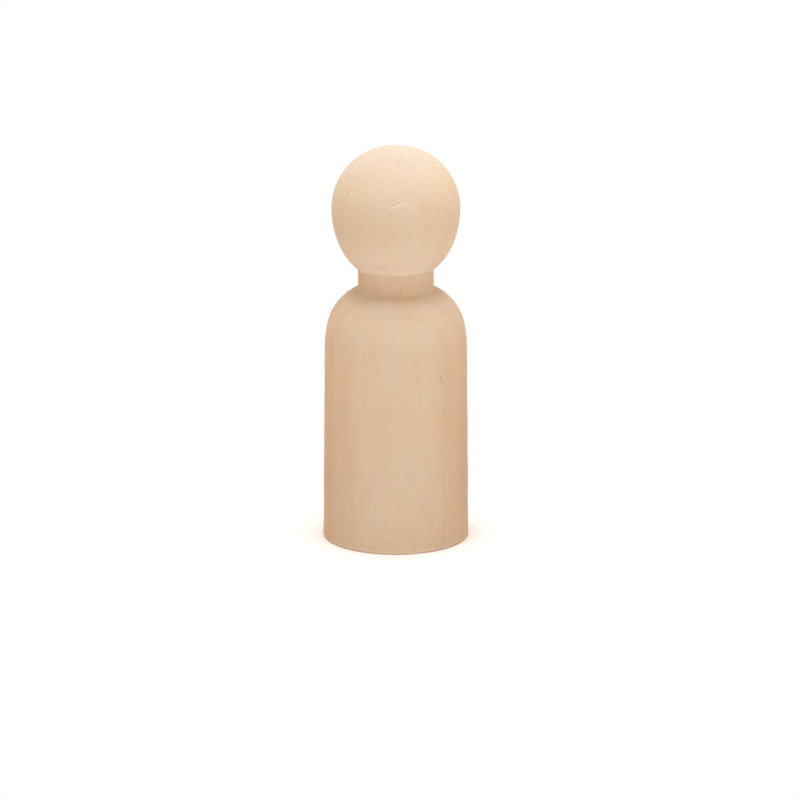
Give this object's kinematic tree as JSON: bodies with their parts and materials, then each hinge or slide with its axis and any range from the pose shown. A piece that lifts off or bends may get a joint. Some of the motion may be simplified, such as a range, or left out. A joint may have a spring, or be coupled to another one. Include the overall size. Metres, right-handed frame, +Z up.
{
  "type": "peg doll",
  "caption": "Plain turned wooden peg doll: flat-based, slightly tapering body with rounded shoulders, a short straight neck and a near-round ball head, for painting and small-world play.",
  "frame": {"origin": "centre of the flat base", "axes": "+Z up the turning axis from base to crown; the doll is the same all round, and its pictured side faces -Y with +X to the viewer's right"},
  "size_m": [0.0202, 0.0202, 0.055],
  "materials": {
    "turned_wood": "bare pale hardwood, turned and fine sanded, no paint or varnish"
  },
  "bodies": {
    "root": {"body": "turned_wood", "head": "turned_wood"}
  },
  "joints": []
}
